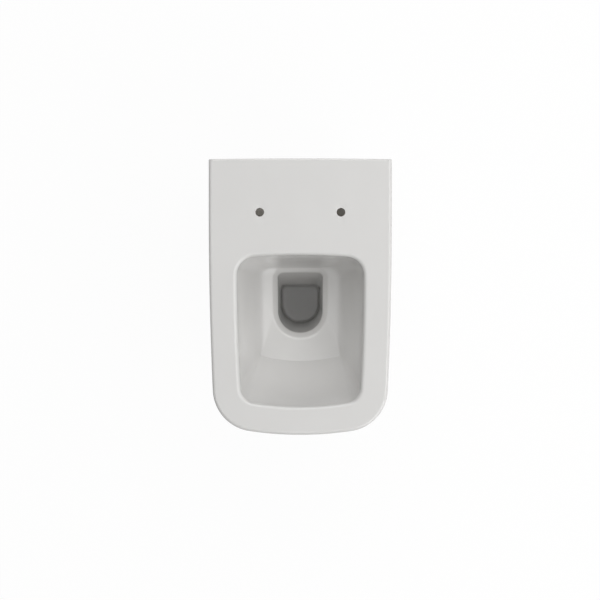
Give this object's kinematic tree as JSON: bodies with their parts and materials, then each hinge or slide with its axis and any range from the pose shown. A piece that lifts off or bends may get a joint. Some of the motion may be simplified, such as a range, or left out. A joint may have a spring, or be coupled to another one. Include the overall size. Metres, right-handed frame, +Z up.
{
  "type": "wall hung toilet",
  "caption": "White wall hung toilet pan with a rounded square bowl, outlet well, seat holes, flush inlet, trap and hidden side screw fixings.",
  "frame": {"origin": "midway between the two wall studs, on the face that stands against the wall", "axes": "+X to the right seen from the front, -Y out from the wall, +Y into the wall, +Z up"},
  "size_m": [0.35, 0.528, 0.34],
  "materials": {
    "glazed_china": "white gloss glaze on vitreous china",
    "seal_rubber": "matt black moulded rubber",
    "bush_nylon": "natural nylon",
    "zinc_steel": "bright zinc plate",
    "insert_brass": "turned brass",
    "cap_plastic": "white gloss plastic"
  },
  "bodies": {
    "pan": {"pan": "glazed_china", "inlet_seal": "seal_rubber", "fixing_bush_left": "bush_nylon", "fixing_bush_right": "bush_nylon", "stud_washers": "zinc_steel", "stud_nuts": "zinc_steel", "screw_insert_left": "insert_brass", "screw_insert_right": "insert_brass"},
    "cover_cap_left": {"cover_cap_left": "cap_plastic"},
    "cover_cap_right": {"cover_cap_right": "cap_plastic"},
    "side_screw_left": {"side_screw_left": "zinc_steel"},
    "side_screw_right": {"side_screw_right": "zinc_steel"}
  },
  "joints": [
    {"name": "cover_cap_left_pull", "type": "slide", "parent": "pan", "child": "cover_cap_left", "axis": [-1, 0, 0], "range_m": [0, 0.025]},
    {"name": "cover_cap_right_pull", "type": "slide", "parent": "pan", "child": "cover_cap_right", "axis": [1, 0, 0], "range_m": [0, 0.025]},
    {"name": "side_screw_left_travel", "type": "slide", "parent": "pan", "child": "side_screw_left", "axis": [-1, 0, 0], "range_m": [0, 0.006]},
    {"name": "side_screw_right_travel", "type": "slide", "parent": "pan", "child": "side_screw_right", "axis": [1, 0, 0], "range_m": [0, 0.006]}
  ]
}
